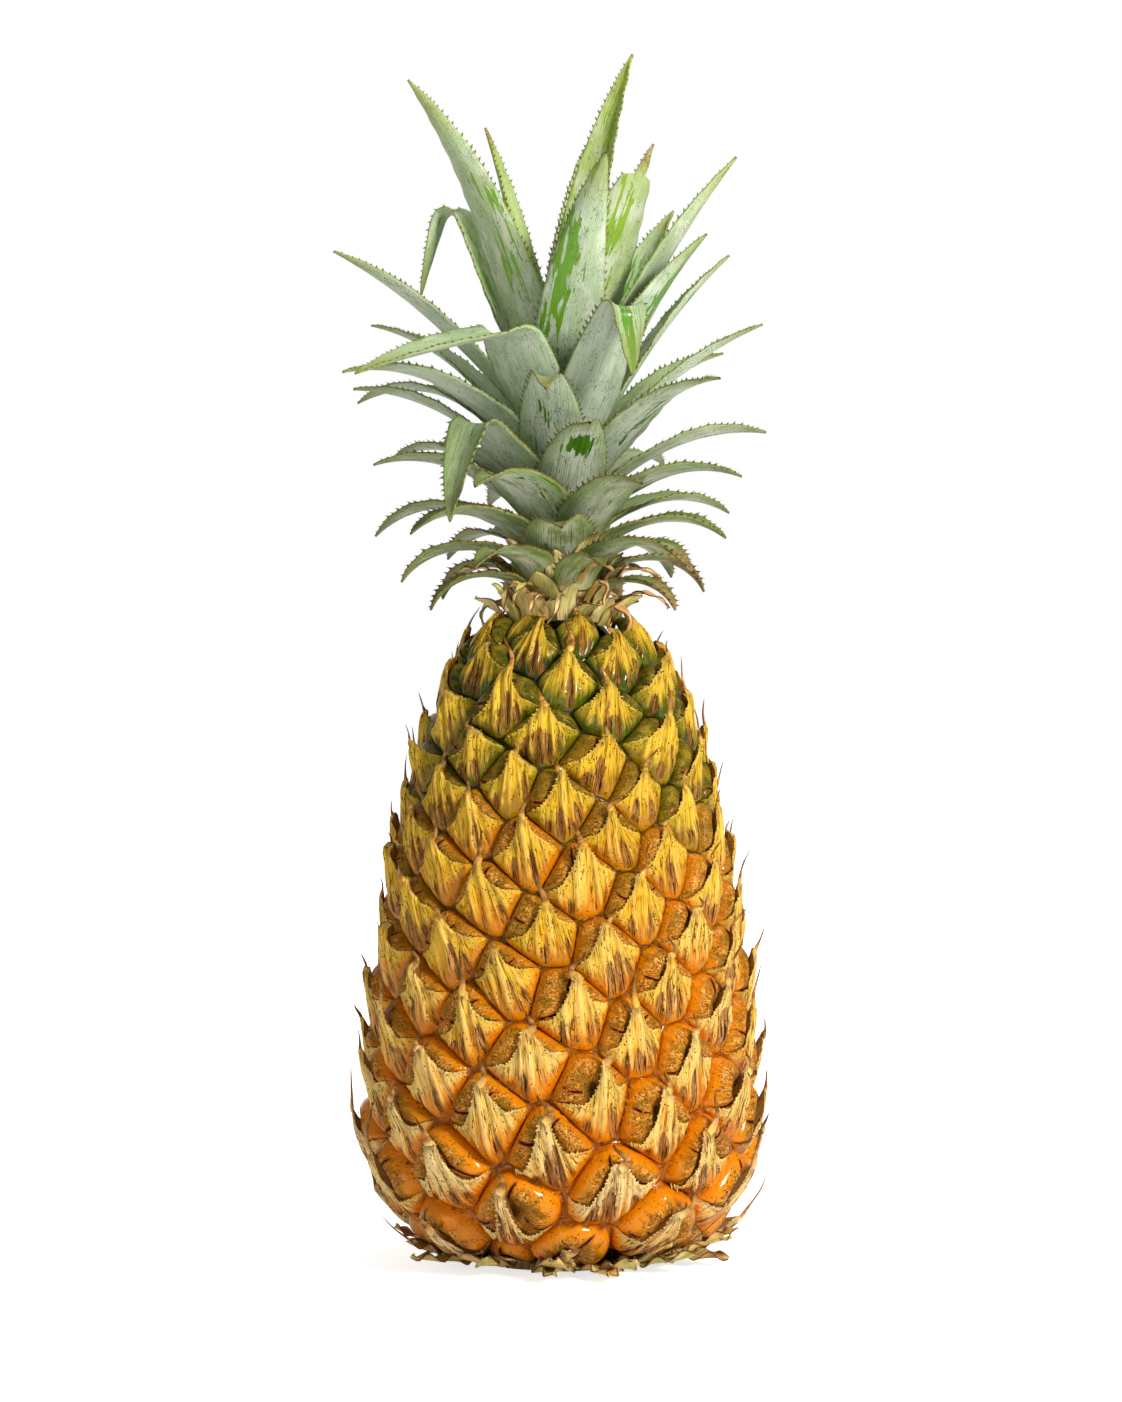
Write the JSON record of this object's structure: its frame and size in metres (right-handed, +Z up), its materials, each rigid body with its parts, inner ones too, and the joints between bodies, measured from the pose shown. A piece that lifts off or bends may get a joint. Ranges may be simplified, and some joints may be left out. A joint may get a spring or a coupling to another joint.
{
  "type": "pineapple",
  "caption": "Whole fresh pineapple standing on its cut stalk: a scaly conical fruit with bracted eyes under an upright crown of spiny-edged leaves.",
  "frame": {"origin": "middle of the cut stalk's flat end, on the floor under the fruit's axis", "axes": "+Z up along the fruit's axis to the crown, -Y towards the camera of the picture, +X to the picture's right"},
  "size_m": [0.1353, 0.1307, 0.3695],
  "materials": {
    "rind": "waxy rind, satin with wet-looking spots, golden to orange, green towards the crown",
    "crown_core": "pale fibrous stem, matt",
    "leaf": "tough waxy leaf, silver-grey bloom over green, satin"
  },
  "bodies": {
    "root": {"fruit": "rind", "crown_stem": "crown_core", "leaf_01": "leaf", "leaf_02": "leaf", "leaf_03": "leaf", "leaf_04": "leaf", "leaf_05": "leaf", "leaf_06": "leaf", "leaf_07": "leaf", "leaf_08": "leaf", "leaf_09": "leaf", "leaf_10": "leaf", "leaf_11": "leaf", "leaf_12": "leaf", "leaf_13": "leaf", "leaf_14": "leaf", "leaf_15": "leaf", "leaf_16": "leaf", "leaf_17": "leaf", "leaf_18": "leaf", "leaf_19": "leaf", "leaf_20": "leaf", "leaf_21": "leaf", "leaf_22": "leaf", "leaf_23": "leaf", "leaf_24": "leaf", "leaf_25": "leaf", "leaf_26": "leaf", "leaf_27": "leaf", "leaf_28": "leaf", "leaf_29": "leaf", "leaf_30": "leaf", "leaf_31": "leaf", "leaf_32": "leaf", "leaf_33": "leaf", "leaf_34": "leaf", "leaf_35": "leaf", "leaf_36": "leaf", "leaf_37": "leaf", "leaf_38": "leaf", "leaf_39": "leaf", "leaf_40": "leaf", "leaf_41": "leaf", "leaf_42": "leaf", "leaf_43": "leaf", "leaf_44": "leaf", "leaf_45": "leaf", "leaf_46": "leaf", "leaf_47": "leaf", "leaf_48": "leaf", "leaf_49": "leaf", "leaf_50": "leaf", "leaf_51": "leaf", "leaf_52": "leaf", "leaf_53": "leaf", "leaf_54": "leaf"}
  },
  "joints": []
}
